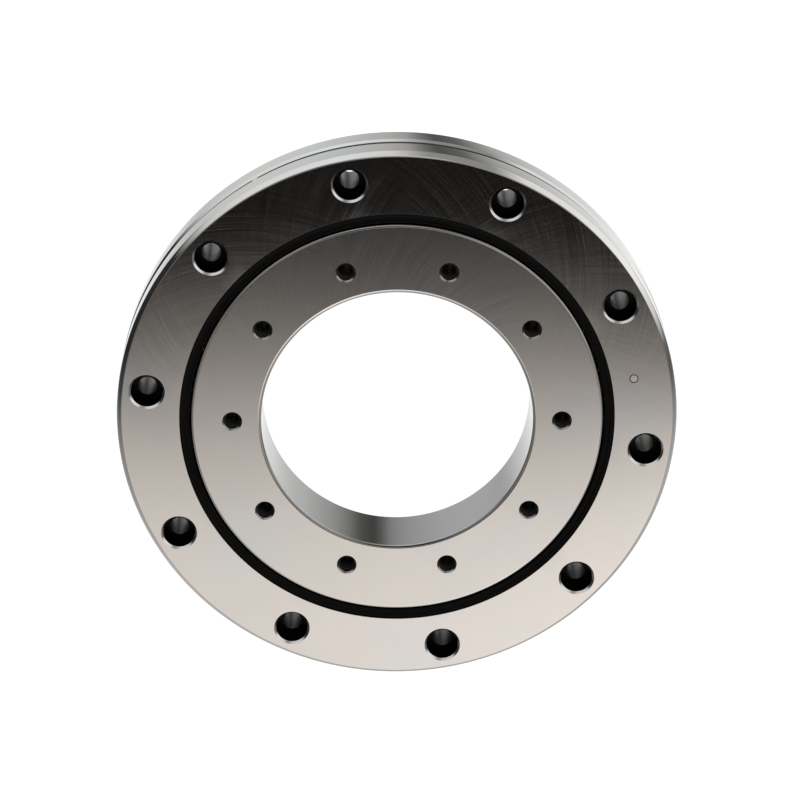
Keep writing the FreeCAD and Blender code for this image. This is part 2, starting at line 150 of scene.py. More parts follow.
class BearingHoleSizes(bpy.types.PropertyGroup):
    """Sizes of the holes, the pin and the plug."""

    outer_circle: mm("Outer hole circle", 74, "Radius of the mounting holes' circle")
    outer_count: count("Outer holes", 10, "Counterbored holes in the outer ring")
    outer_radius: mm("Mounting hole radius", 2.75, "Through hole")
    counterbore: mm("Counterbore radius", 4.75, "Takes the screw's head")
    counterbore_depth: mm("Counterbore depth", 5.4, "Takes the screw's head")
    counterbore_chamfer: mm("Counterbore chamfer", 0.6, "Mouth in the upper face")
    outer_chamfer: mm("Lower chamfer", 0.4, "Mouth in the lower face")
    inner_circle: mm("Inner hole circle", 48.5, "Radius of the tapped holes' circle")
    inner_count: count("Inner holes", 10, "Tapped holes in the inner ring")
    inner_index: turn("Inner ring index", 7.24, "Angle from the X axis to the first tapped hole")
    thread_core: mm("Thread core radius", 2.1, "M5 thread, crests")
    thread_root: mm("Thread root radius", 2.5, "M5 thread, roots")
    thread_pitch: mm("Thread pitch", 0.8, "M5 thread")
    thread_chamfer: mm("Thread chamfer", 0.45, "Both mouths of a tapped hole")
    grease_radius: mm("Grease hole radius", 1, "From the oil groove to the raceway")
    grease_chamfer: mm("Grease hole chamfer", 0.5, "Mouth on the oil groove's floor")
    grease_angle: turn("Grease hole angle", 127.3, "First grease hole, the other is opposite")
    plug_radius: mm("Plug radius", 6, "Filling plug")
    plug_angle: turn("Plug angle", 18, "Filling plug and locking pin")
    plug_gap: mm("Plug gap", 0.03, "Fine line round the plug")
    pin_circle: mm("Pin place", 70.6, "From the axis to the locking pin")
    pin_radius: mm("Pin radius", 1.2, "Locking pin")
    pin_chamfer: mm("Pin chamfer", 0.13, "Edges of the pin and of its bore")
    pin_gap: mm("Pin gap", 0.01, "Fine line round the pin")


class BearingSealSizes(bpy.types.PropertyGroup):
    """Sizes of the seals' section."""

    sink: mm("Sink", 0.45, "From the ring's face to the seal")
    lip_gap: mm("Lip gap", 0.3, "From the inner ring to the lip")
    lip_depth: mm("Lip depth", 2.35, "From the ring's face to the lip's edge")
    bead: mm("Bead radius", 0.4, "Half round at the lip")
    bead_foot: mm("Bead foot", 0.15, "Slope from bead to valley")
    valley: mm("Valley depth", 0.4, "Between bead and band")
    band: mm("Band width", 0.8, "Flat, beside the outer ring")
    band_foot: mm("Band foot", 0.45, "Slope from band to valley")
    knee_across: mm("Knee across", 0.2, "Where that slope grows steeper")
    knee_down: mm("Knee down", 0.1, "As above, along the axis")
    edge: mm("Edge chamfer", 0.15, "Outer edge of the band")
    rim_gap: mm("Rim gap", 0.02, "Round the rim in its groove")


class BearingFinish(bpy.types.PropertyGroup):
    """Colours and polish."""

    steel: colour("Steel", (0.60, 0.585, 0.565), "Ground bearing steel")
    steel_roughness: number("Steel roughness", 0.062, "Ground faces", 1)
    inner_roughness: number("Inner ring roughness", 0.1, "Ground faces of the inner ring", 1)
    scatter: number("Scatter", 0.37, "How much the outer ring's marks differ in roughness", 1)
    inner_scatter: number("Inner ring scatter", 0.08, "As above, for the inner ring", 1)
    mark_depth: mm("Mark depth", 0.0012, "Grinding marks")
    hole_tone: number("Hole brightness", 0.2, "Drilled walls, beside the ground steel", 1)
    thread_tone: number("Thread brightness", 0.06, "Threads, beside the ground steel", 1)
    thread_mouth: number("Thread mouth brightness", 0.42, "Mouths of the tapped holes", 1)
    seam_tone: number("Seam brightness", 0.015, "Fine lines round the pin and the plug", 1)
    rubber: colour("Rubber", (0.0032, 0.003, 0.0029), "Seals")
    rubber_roughness: number("Rubber roughness", 0.5, "Seals", 1)
    plastic: colour("Separator plastic", (0.80, 0.76, 0.66), "Roller separators")


class BearingStudio(bpy.types.PropertyGroup):
    """Floor and camera."""

    floor: colour("Floor", (0.35, 0.35, 0.35), "Pale floor, as far as it is lit")
    floor_glow: number("Floor glow", 0.95, "Light that the pale floor gives back by itself")
    camera_lens: number("Lens", 149.15, "Focal length in millimetres, for SENSOR_WIDTH")


def sizes():
    return bpy.context.scene.bearing_rings, bpy.context.scene.bearing_holes


def finish_of():
    return bpy.context.scene.bearing_finish


def select_only(piece=None):
    """Leave only this piece selected and active, or nothing."""
    if bpy.context.object and bpy.context.object.mode != "OBJECT":
        bpy.ops.object.mode_set(mode="OBJECT")
    bpy.ops.object.select_all(action="DESELECT")
    if piece:
        bpy.context.view_layer.objects.active = piece
        piece.select_set(True)


def named(name):
    """The active object under a new name, out of edit mode and with its transforms applied."""
    piece = bpy.context.object
    bpy.ops.object.mode_set(mode="OBJECT")
    piece.name = name
    piece.data.name = name
    bpy.ops.object.transform_apply(location=True, rotation=True, scale=True)
    return piece


def broken(outline, break_by):
    """The closed outline with every sharp corner cut back to two points, break_by from the corner.

    A short side gives up a third of its length at most.
    """
    points = []
    for n, corner in enumerate(outline):
        here = Vector(corner)
        before = Vector(outline[n - 1]) - here
        after = Vector(outline[(n + 1) % len(outline)]) - here
        if before.angle(-after) < SMOOTH_ANGLE:
            points.append(corner)
        else:
            for way in (before, after):
                points.append(tuple(here + way.normalized() * min(break_by, way.length / 3)))
    return points


def eased(start, corner, end, roundness):
    """A chamfer from start to end, bulging towards the corner that it takes off."""
    start, corner, end = Vector(start), Vector(corner), Vector(end)
    pull = (start + end).lerp(2 * corner, roundness) / 2
    points = []
    for step in range(CHAMFER_STEPS + 1):
        part = step / CHAMFER_STEPS
        points.append(tuple(start.lerp(pull, part).lerp(pull.lerp(end, part), part)))
    return points


def turned(name, outline, material, segments=RING_SEGMENTS, closed=True):
    """Turn an outline of (radius, height) about Z, by extruding a circle from point to point.

    A closed outline makes a ring. An open one makes a solid with flat ends, like a pin or a cutter.
    """
    select_only()
    radius, height = outline[0]
    bpy.ops.mesh.primitive_circle_add(vertices=segments, radius=radius, location=(0, 0, height),
                                      fill_type="NOTHING" if closed else "NGON")
    bpy.ops.object.mode_set(mode="EDIT")
    bpy.ops.mesh.select_all(action="SELECT")
    steps = outline[1:] + (outline[:1] if closed else [])
    for new_radius, new_height in steps:
        grow = new_radius / radius
        if closed:
            bpy.ops.mesh.extrude_edges_move()
        else:
            bpy.ops.mesh.extrude_region_move()
        bpy.ops.transform.translate(value=(0, 0, new_height - height))
        bpy.ops.transform.resize(value=(grow, grow, 1), center_override=(0, 0, new_height))
        radius, height = new_radius, new_height
    bpy.ops.mesh.select_all(action="SELECT")
    bpy.ops.mesh.remove_doubles(threshold=MICRON)
    bpy.ops.mesh.normals_make_consistent(inside=False)
    piece = named(name)
    piece.data.materials.append(material)
    return piece


def place(piece, angle, across, up=0.0, lean=0.0):
    """Lean a piece about Y, move it out along X and up, then turn it about Z, and apply all of it."""
    out = Matrix.Translation((across, 0, up)) @ Matrix.Rotation(lean, 4, "Y")
    piece.matrix_world = Matrix.Rotation(angle, 4, "Z") @ out
    select_only(piece)
    return named(piece.name)


def copy_of(piece, name):
    """A copy with its own mesh."""
    select_only(piece)
    bpy.ops.object.duplicate(linked=False)
    return named(name)


def join(pieces, name):
    select_only(pieces[0])
    for piece in pieces[1:]:
        piece.select_set(True)
    if len(pieces) > 1:
        bpy.ops.object.join()
    return named(name)


def cut(piece, cutter, operation="DIFFERENCE"):
    """Cut a piece with a tool, which is then thrown away. The cut surfaces keep the tool's material."""
    select_only(piece)
    modifier = piece.modifiers.new("Cut", "BOOLEAN")
    modifier.operation = operation
    modifier.solver = "EXACT"
    modifier.material_mode = "TRANSFER"
    modifier.object = cutter
    bpy.ops.object.modifier_apply(modifier=modifier.name)
    bpy.data.objects.remove(cutter)


def smooth(piece):
    """Smooth shading, with edges kept where the surface turns sharply and flat faces kept flat."""
    select_only(piece)
    bpy.ops.object.shade_smooth_by_angle(angle=SMOOTH_ANGLE)
    modifier = piece.modifiers.new("Flat faces", "WEIGHTED_NORMAL")
    modifier.keep_sharp = True
    modifier.weight = FLAT_WEIGHT
    bpy.ops.object.modifier_apply(modifier=modifier.name)


def finish_piece(piece, slot, body, *nodes):
    """Shade a finished piece, attach it to its body and hide the nodes that it stands for. slot is not used.
    """
    smooth(piece)
    if nodes:
        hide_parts(*nodes)
    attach(piece, body)


def mirrored_up(lower, width):
    """The lower half of a ring's outline, and then its mirror image up to the other face."""
    return lower + [(radius, width - height) for radius, height in reversed(lower)]


def raceway_outline(side):
    """The relief at the V's root, from its lower edge to its upper one. side is 1 outwards, -1 inwards."""
    rings, _ = sizes()
    middle = rings.width / 2
    root = rings.pitch + side * rings.root_reach
    relief_edge = root - side * rings.relief
    floor = root + side * rings.relief_depth
    return [
        (relief_edge, middle - rings.relief),
        (floor, middle - rings.relief),
        (floor, middle + rings.relief),
        (relief_edge, middle + rings.relief),
    ]


def outer_ring_blank(name, material):
    """The outer ring with no holes."""
    rings, _ = sizes()
    middle = rings.width / 2
    groove_end = rings.seal_groove_depth + rings.seal_groove_width
    v_half = rings.root_reach - (rings.outer_land - rings.pitch)
    half_mouth = rings.oil_groove_width / 2
    half_floor = half_mouth - rings.oil_groove_depth
    floor = rings.outside - rings.oil_groove_depth
    bore_side = [
        (rings.outer_land, middle - v_half),
        (rings.outer_land, groove_end),
        (rings.seal_groove, groove_end),
        (rings.seal_groove, rings.seal_groove_depth),
        (rings.seal_mouth, rings.seal_groove_depth),
        (rings.seal_mouth, rings.seal_mouth_chamfer),
        (rings.seal_mouth + rings.seal_mouth_chamfer, 0),
    ]
    face_end = rings.outside - rings.rim_chamfer_across
    rim_chamfer = eased((face_end, 0), (rings.outside, 0), (rings.outside, rings.rim_chamfer_along),
                        rings.chamfer_roundness)
    rim_side = [(face_end - FACE_STRIP, 0)] + rim_chamfer
    rim_side += [(rings.outside, middle - half_mouth), (floor, middle - half_floor)]
    outline = mirrored_up(bore_side + rim_side, rings.width)
    outline += list(reversed(raceway_outline(1)))
    return turned(name, broken(outline, rings.edge_rounding), material)


def mounting_hole_cutter(material):
    """A stepped drill for a counterbored hole, with both mouths broken."""
    rings, holes = sizes()
    step = rings.width - holes.counterbore_depth
    return turned("mounting_hole_cutter", [
        (holes.outer_radius + holes.outer_chamfer + DRILL_PROUD, -DRILL_PROUD),
        (holes.outer_radius, holes.outer_chamfer),
        (holes.outer_radius, step),
        (holes.counterbore, step),
        (holes.counterbore, rings.width - holes.counterbore_chamfer),
        (holes.counterbore + holes.counterbore_chamfer + DRILL_PROUD, rings.width + DRILL_PROUD),
    ], material, HOLE_SEGMENTS, closed=False)


def circle_of(cutter, circle, number_of, start, name):
    """Copies of a cutter round a circle, joined into one."""
    copies = []
    for n in range(number_of):
        copy = copy_of(cutter, f"{name}_{n}")
        copies.append(place(copy, start + n * math.tau / number_of, circle))
    bpy.data.objects.remove(cutter)
    return join(copies, name)


def radial_tool(name, outline, material, angle, up):
    """A turned tool laid along a radius. The outline's heights are distances from the bearing's axis."""
    tool = turned(name, outline, material, HOLE_SEGMENTS, closed=False)
    return place(tool, angle, 0, up, math.radians(90))


def grease_hole_cutter(name, material, angle):
    rings, holes = sizes()
    floor = rings.outside - rings.oil_groove_depth
    chamfer = holes.grease_chamfer
    return radial_tool(name, [
        (holes.grease_radius, rings.pitch),
        (holes.grease_radius, floor - chamfer),
        (holes.grease_radius + 2 * chamfer, floor + chamfer),
    ], material, angle, rings.width / 2)


def plug_cutter(name, material, gap):
    rings, holes = sizes()
    radius = holes.plug_radius - gap
    outline = [(radius, rings.pitch), (radius, rings.outside + PLUG_PROUD)]
    return radial_tool(name, outline, material, holes.plug_angle, rings.width / 2)


def pin_cutter(name, material):
    """The locking pin's bore, with its mouth just broken."""
    rings, holes = sizes()
    chamfer = holes.pin_chamfer
    tool = turned(name, [
        (holes.pin_radius, PIN_LOW.z),
        (holes.pin_radius, rings.width - chamfer),
        (holes.pin_radius + 2 * chamfer, rings.width + chamfer),
    ], material, HOLE_SEGMENTS, closed=False)
    return place(tool, holes.plug_angle, holes.pin_circle)


class BEARING_OT_outer_ring(bpy.types.Operator):
    """Turn the outer ring and drill its holes"""

    bl_idname = "bearing.outer_ring"
    bl_label = "Outer Ring"

    def execute(self, context):
        rings, holes = sizes()
        finish = finish_of()
        step = rings.width - holes.counterbore_depth
        drilled = drilled_steel("drilled_steel", finish.hole_tone, 0.95, holes.counterbore_chamfer, step)
        pin_bore = drilled_steel("pin_bore_steel", finish.seam_tone)
        steel = ground_steel("outer_ring_steel", finish.steel_roughness, finish.scatter)
        ring = outer_ring_blank("outer_ring_turned", steel)
        drills = mounting_hole_cutter(drilled)
        cut(ring, circle_of(drills, holes.outer_circle, holes.outer_count, 0, "mounting_holes"))
        cut(ring, plug_cutter("plug_bore", pin_bore, 0))
        cut(ring, pin_cutter("pin_bore", pin_bore))
        # Painted highlight: the grease holes' walls and mouths are brighter than the ground steel, a bright
        # break in the oil groove's painted shade
        mouth = drilled_steel("grease_mouth_highlight", GREASE_MOUTH_PAINTED_HIGHLIGHT)
        cut(ring, grease_hole_cutter("grease_hole_1", mouth, holes.grease_angle))
        cut(ring, grease_hole_cutter("grease_hole_2", mouth, holes.grease_angle + math.pi))
        finish_piece(ring, "ring_steel", "outer_ring", "outer_ring")
        return {"FINISHED"}


class BEARING_OT_filling_plug(bpy.types.Operator):
    """Cut the filling plug out of the same turned section as the outer ring"""

    bl_idname = "bearing.filling_plug"
    bl_label = "Filling Plug"

    def execute(self, context):
        _, holes = sizes()
        finish = finish_of()
        dark = drilled_steel("plug_side_steel", finish.seam_tone)
        steel = ground_steel("filling_plug_steel", finish.steel_roughness, finish.scatter)
        plug = outer_ring_blank("filling_plug_turned", steel)
        cut(plug, plug_cutter("round_plug", dark, holes.plug_gap), "INTERSECT")
        cut(plug, pin_cutter("pin_bore_in_plug", dark))
        finish_piece(plug, "plug_steel", "outer_ring", "filling_plug")
        return {"FINISHED"}


class BEARING_OT_locking_pin(bpy.types.Operator):
    """Turn the locking pin, flush with the outer ring's face"""

    bl_idname = "bearing.locking_pin"
    bl_label = "Locking Pin"

    def execute(self, context):
        rings, holes = sizes()
        radius = holes.pin_radius - holes.pin_gap
        chamfer = holes.pin_chamfer
        pin = turned("locking_pin_turned", [
            (radius - chamfer, PIN_LOW.z),
            (radius, PIN_LOW.z + chamfer),
            (radius, rings.width - chamfer),
            (radius - chamfer, rings.width),
        ], pin_steel(), HOLE_SEGMENTS, closed=False)
        place(pin, holes.plug_angle, holes.pin_circle)
        finish_piece(pin, "pin_steel", "outer_ring", "locking_pin")
        return {"FINISHED"}


def inner_ring_blank(name, material):
    rings, _ = sizes()
    middle = rings.width / 2
    v_half = rings.root_reach - (rings.pitch - rings.shoulder)
    face_outside = rings.shoulder - rings.shoulder_chamfer
    face_inside = rings.bore + rings.bore_chamfer_across
    shoulder_edge = eased((rings.shoulder, rings.shoulder_chamfer), (rings.shoulder, 0),
                          (face_outside, 0), rings.shoulder_roundness)
    bore_edge = eased((face_inside, 0), (rings.bore, 0), (rings.bore, rings.bore_chamfer_along),
                      rings.bore_roundness)
    strips = [(face_outside - FACE_STRIP, 0), (face_inside + FACE_STRIP, 0)]
    lower = [(rings.shoulder, middle - v_half)] + shoulder_edge + strips + bore_edge
    outline = mirrored_up(lower, rings.width) + list(reversed(raceway_outline(-1)))
    return turned(name, broken(outline, rings.edge_rounding), material)


def tapped_hole_cutter(material):
    """A drill at the thread's root, so that the thread's ridges can be laid in it."""
    rings, holes = sizes()
    root = holes.thread_root
    chamfer = holes.thread_chamfer
    return turned("tapped_hole_cutter", [
        (root + chamfer + DRILL_PROUD, -DRILL_PROUD),
        (root, chamfer),
        (root, rings.width - chamfer),
        (root + chamfer + DRILL_PROUD, rings.width + DRILL_PROUD),
    ], material, HOLE_SEGMENTS, closed=False)


def thread_ridge(material):
    """One helical ridge of the M5 thread, from just inside one mouth to just inside the other."""
    rings, holes = sizes()
    pitch = holes.thread_pitch
    inset = holes.thread_chamfer + RIDGE_INSET
    turns = int((rings.width - 2 * inset) / pitch) - 1
    root = holes.thread_root + RIDGE_EMBED
    crest = holes.thread_core
    start = inset + pitch / 2
    # In the order of a plane's corners, which run 0, 1, 3, 2 round its edge
    section = [(root, -RIDGE_ROOT), (crest, -RIDGE_CREST), (root, RIDGE_ROOT), (crest, RIDGE_CREST)]
    select_only()
    bpy.ops.mesh.primitive_plane_add(size=1, location=(0, 0, 0))
    ridge = bpy.context.object
    for vertex, (radius, height) in zip(ridge.data.vertices, section):
        vertex.co = (radius, 0, start + height * pitch)
    screw = ridge.modifiers.new("Screw", "SCREW")
    screw.screw_offset = pitch
    screw.iterations = turns
    screw.steps = THREAD_SEGMENTS
    screw.render_steps = THREAD_SEGMENTS
    screw.use_merge_vertices = False
    select_only(ridge)
    bpy.ops.object.modifier_apply(modifier=screw.name)
    bpy.ops.object.mode_set(mode="EDIT")
    bpy.ops.mesh.select_all(action="SELECT")
    bpy.ops.mesh.normals_make_consistent(inside=False)
    ridge = named("thread_ridge")
    ridge.data.materials.append(material)
    return ridge


class BEARING_OT_inner_ring(bpy.types.Operator):
    """Turn the inner ring, drill it and cut its threads"""

    bl_idname = "bearing.inner_ring"
    bl_label = "Inner Ring"

    def execute(self, context):
        _, holes = sizes()
        finish = finish_of()
        circle = holes.inner_circle, holes.inner_count, holes.inner_index
        tapped = drilled_steel("tapped_steel", finish.thread_tone, finish.thread_mouth,
                               holes.thread_chamfer)
        steel = ground_steel("inner_ring_steel", finish.inner_roughness, finish.inner_scatter)
        ring = inner_ring_blank("inner_ring_turned", steel)
        cut(ring, circle_of(tapped_hole_cutter(tapped), *circle, "tapped_holes"))
        finish_piece(ring, "ring_steel", "inner_ring", "inner_ring")
        threads = circle_of(thread_ridge(tapped), *circle, "tapped_threads")
        finish_piece(threads, "ring_steel", "inner_ring")
        return {"FINISHED"}


def seal_outline():
    """The upper seal's section, from the lip round its outward side to the rim."""
    rings, _ = sizes()
    seal = bpy.context.scene.bearing_seals
    face = rings.width
    lip = rings.shoulder + seal.lip_gap
    bead_end = lip + 2 * seal.bead
    neck = rings.seal_mouth - seal.rim_gap
    rim = rings.seal_groove - seal.rim_gap
    crest = face - seal.sink
    valley = crest - seal.valley
    rim_top = face - rings.seal_groove_depth - seal.rim_gap
    rim_bottom = face - rings.seal_groove_depth - rings.seal_groove_width + seal.rim_gap
    points = [(lip, face - seal.lip_depth)]
    for step in range(BEAD_STEPS + 1):
        angle = math.pi - step * math.pi / BEAD_STEPS
        points.append((lip + seal.bead * (1 + math.cos(angle)), crest - seal.bead * (1 - math.sin(angle))))
    points += [
        (bead_end + seal.bead_foot, valley),
        (neck - seal.band - seal.band_foot, valley),
        (neck - seal.band - seal.knee_across, crest - seal.knee_down),
        (neck - seal.band, crest),
        (neck - seal.edge, crest),
        (neck, crest - seal.edge),
        (neck, rim_top),
        (rim, rim_top),
        (rim, rim_bottom),
        (bead_end, rim_bottom),
    ]
    return points


class BEARING_OT_seals(bpy.types.Operator):
    """Mould the two seals"""

    bl_idname = "bearing.seals"
    bl_label = "Seals"

    def execute(self, context):
        rings, _ = sizes()
        rubber = seal_rubber()
        upper = turned("upper_seal_moulded", seal_outline(), rubber)
        lower_outline = [(radius, rings.width - height) for radius, height in reversed(seal_outline())]
        lower = turned("lower_seal_moulded", lower_outline, rubber)
        finish_piece(upper, "seal_rubber", "outer_ring", "upper_seal")
        finish_piece(lower, "seal_rubber", "outer_ring", "lower_seal")
        return {"FINISHED"}


class BEARING_OT_rollers(bpy.types.Operator):
    """Finish the rollers and their separators, which keep their own solids"""

    bl_idname = "bearing.rollers"
    bl_label = "Rollers and Separators"

    def execute(self, context):
        polished = roller_steel()
        plastic = separator_plastic()
        for name, node in frame["nodes"].items():
            if name.startswith("roller_"):
                material = plastic if name == "roller_separators" else polished
                node.data.materials.clear()
                node.data.materials.append(material)
        return {"FINISHED"}


# Sockets of the Mix node, which has several of each name: its factor and the two that it mixes
MIX_NUMBERS = 0, 2, 3
MIX_COLOURS = 0, 6, 7
MIXED_COLOUR = 2


class Nodes:
    """Short ways to add nodes to one tree."""

    def __init__(self, tree):
        self.tree = tree

    def node(self, kind, **settings):
        made = self.tree.nodes.new("ShaderNode" + kind)
        for key, value in settings.items():
            setattr(made, key, value)
        return made

    def link(self, source, target):
        self.tree.links.new(source, target)

    def put(self, socket, value):
        """Link a socket, or set a plain value."""
        if isinstance(value, bpy.types.NodeSocket):
            self.link(value, socket)
        else:
            socket.default_value = value

    def fill(self, made, **values):
        for name, value in values.items():
            self.put(made.inputs[name], value)
        return made.outputs[0]

    def math(self, operation, *values):
        made = self.node("Math", operation=operation)
        for socket, value in zip(made.inputs, values):
            self.put(socket, value)
        return made.outputs[0]

    def times(self, first, second):
        return self.math("MULTIPLY", first, second)

    def separate(self, vector):
        made = self.node("SeparateXYZ")
        self.link(vector, made.inputs[0])
        return made.outputs

    def combine(self, x, y, z):
        return self.fill(self.node("CombineXYZ"), X=x, Y=y, Z=z)

    def vector(self, operation, vector, scale=None, output="Vector"):
        made = self.node("VectorMath", operation=operation)
        self.put(made.inputs[0], vector)
        if scale is not None:
            self.put(made.inputs["Scale"], scale)
        return made.outputs[output]

    def turn_z(self, vector, angle):
        return self.fill(self.node("VectorRotate", rotation_type="Z_AXIS"), Vector=vector, Angle=angle)

    def noise(self, vector, scale, detail, roughness=0.5):
        made = self.node("TexNoise")
        return self.fill(made, Vector=vector, Scale=scale, Detail=detail, Roughness=roughness)

    def remap(self, value, low, high, new_low, new_high, smooth=False):
        made = self.node("MapRange")
        if smooth:
            made.interpolation_type = "SMOOTHSTEP"
        self.put(made.inputs["Value"], value)
        for name, limit in zip(("From Min", "From Max", "To Min", "To Max"), (low, high, new_low, new_high)):
            self.put(made.inputs[name], limit)
        return made.outputs[0]

    def spread(self, noise, low, high):
        """Stretch a noise from NOISE_RANGE."""
        return self.remap(noise, *NOISE_RANGE, low, high)

    def blend(self, factor, first, second):
        """A number between two others."""
        made = self.node("Mix", data_type="FLOAT")
        for socket, value in zip(MIX_NUMBERS, (factor, first, second)):
            self.put(made.inputs[socket], value)
        return made.outputs[0]

    def tint(self, value, dark, light):
        """A colour between two, by a value from 0 to 1."""
        made = self.node("Mix", data_type="RGBA")
        for socket, part in zip(MIX_COLOURS, (value, dark, light)):
            self.put(made.inputs[socket], (*part, 1) if isinstance(part, tuple) else part)
        return made.outputs[MIXED_COLOUR]

    def ramp(self, value, stops):
        """A grey level from 0 to 1 through (place, level) stops. A new ramp has two of them."""
        made = self.node("ValToRGB")
        self.link(value, made.inputs["Fac"])
        elements = made.color_ramp.elements
        for n, (place_at, level) in enumerate(stops):
            element = elements[n] if n < 2 else elements.new(place_at)
            element.position = place_at
            element.color = (level, level, level, 1)
        return made.outputs["Color"]


class Shader(Nodes):
    """A material and its shader."""

    def __init__(self, name):
        self.material = bpy.data.materials.new(name)
        self.material.use_nodes = True
        super().__init__(self.material.node_tree)
        self.surface = self.tree.nodes["Principled BSDF"]

    def feed(self, socket, value):
        self.put(self.surface.inputs[socket], value)

    def position(self):
        return self.node("TexCoord").outputs["Object"]

    def normal_up(self):
        """How steeply the surface faces up or down, from 0 to 1."""
        return self.math("ABSOLUTE", self.separate(self.node("NewGeometry").outputs["True Normal"])[2])

    def mottled(self, value, rgb, low, high):
        """A colour that varies between two shares of its own brightness."""
        return self.tint(value, shade(rgb, low), shade(rgb, high))

    def bump(self, height, distance):
        self.feed("Normal", self.fill(self.node("Bump"), Strength=1.0, Distance=distance, Height=height))


def shade(rgb, factor):
    return tuple(min(1.0, part * factor) for part in rgb)


# Painted shade on walls, chamfers and the oil groove's floor: their brightness beside that of the ground
# faces. The shoulder's is for the steep part of its chamfer.
RIM_PAINTED_SHADE = 0.88
BORE_PAINTED_SHADE = 0.55
BORE_CHAMFER_PAINTED_SHADE = 0.85
GROOVE_PAINTED_SHADE = 0.05
SHOULDER_PAINTED_SHADE = 0.45
SEAL_MOUTH_PAINTED_SHADE = 0.1
# Painted highlight: the grease holes are brighter than the ground faces
GREASE_MOUTH_PAINTED_HIGHLIGHT = 1.1
# Faint blue that the grinding's coolant leaves, and its strength where the patches' noise is in a range
STAIN = (0.95, 0.99, 1.05)
STAIN_STRENGTH = 0.7
STAIN_RANGE = 0.5, 0.68
# Scale that hardening leaves in the counterbores
BLACK_SCALE = (0.002, 0.002, 0.002)

# Range in which most of a noise lies, and a narrower one for the marks' roughness
NOISE_RANGE = 0.3, 0.7
MARK_RANGE = 0.35, 0.65
# Features per metre of the noises
PATCH_SCALE = 35.0
HAZE_SCALE = 60.0
MOTTLE_SCALE = 700.0
ROLLER_SCALE = 900.0
PLASTIC_SCALE = 1500.0
GRAIN_SCALE = 2200.0
# Marks that cross a face: (lean from the radius in degrees, marks per millimetre, length in millimetres)
FORWARD_MARKS = 48, 1.7, 18
BACKWARD_MARKS = -35, 1.3, 16
# Share of the backward marks, where the patches' noise is in a range
LAY_RANGE = 0.38, 0.62
LAY_SHARE = 0.1, 0.9
# Marks round the rim and the bore, per metre round them and along the axis
ROUND_MARKS = 60.0, 5.0 / MM

# A face points up by at least this, and a wall by at most this. Chamfers are (middle, reach) between them.
FACE_UP = 0.98
WALL_UP = 0.02
CHAMFER_UP = 0.5, 0.47
STEEP_UP = 0.85
# How far from a zone's radius its painted shade reaches
WALL_REACH = 0.1 * MM
BORE_CHAMFER_REACH = 2 * MM
SHOULDER_REACH = 0.8 * MM
SEAL_MOUTH_REACH = 0.3 * MM
# How far past a hole's chamfer its bright mouth ends, and below the step its black scale starts
MOUTH_SLACK = 0.02 * MM
SCALE_SLACK = 0.05 * MM

# Unevenness of each surface, as the least and the greatest share of its brightness
GROUND_SHARES = 0.985, 1.015
WALL_SHARES = 0.85, 1.15
MOUTH_SHARES = 0.92, 1.05
PIN_SHARES = 0.98, 1.2
RUBBER_SHARES = 0.7, 1.4
PLASTIC_SHARES = 0.92, 1.04
# Roughness, and its unevenness as shares or as a range
DRILLED_ROUGHNESS = 0.4
MOUTH_ROUGHNESS = 0.22
DRILLED_ROUGHNESS_SHARES = 0.9, 1.1
RUBBER_ROUGHNESS_SHARES = 0.85, 1.15
PIN_ROUGHNESS = 0.12, 0.2
ROLLER_ROUGHNESS = 0.08, 0.14
PLASTIC_ROUGHNESS = 0.4, 0.5
FLOOR_ROUGHNESS = 0.9
# Mirroring of what isn't bare metal
SCALE_SPECULAR = 0.02
DRILLED_SPECULAR = 0.1
RUBBER_SPECULAR = 0.11
# Polished roller steel, at its darkest and its lightest
ROLLER_DARK = (0.62, 0.62, 0.61)
ROLLER_LIGHT = (0.72, 0.72, 0.71)
# Fine rings that the mould leaves in the rubber: pitch, height beside the grain's, and the grain's depth
MOULD_RING_PITCH = 0.62 * MM
MOULD_RING_HEIGHT = 0.9
RUBBER_GRAIN_DEPTH = 0.02 * MM


def grinding_marks(steel, flat, radius, lean, fine, reach):
    """Noise drawn out into arcs that cross a ring's face, leaning from the radius by an angle.

    fine is the number of marks per millimetre across them, and reach their length in millimetres.
    """
    pitch = sizes()[0].pitch
    bend = math.tan(math.radians(lean)) / pitch
    spokes = steel.turn_z(flat, steel.times(radius, -bend))
    x, y, _ = steel.separate(steel.vector("NORMALIZE", spokes))
    round_by = pitch / MM * fine
    across = steel.combine(steel.times(x, round_by), steel.times(y, round_by),
                           steel.times(radius, 1 / MM / reach))
    return steel.noise(across, 1.0, 3, 0.55)


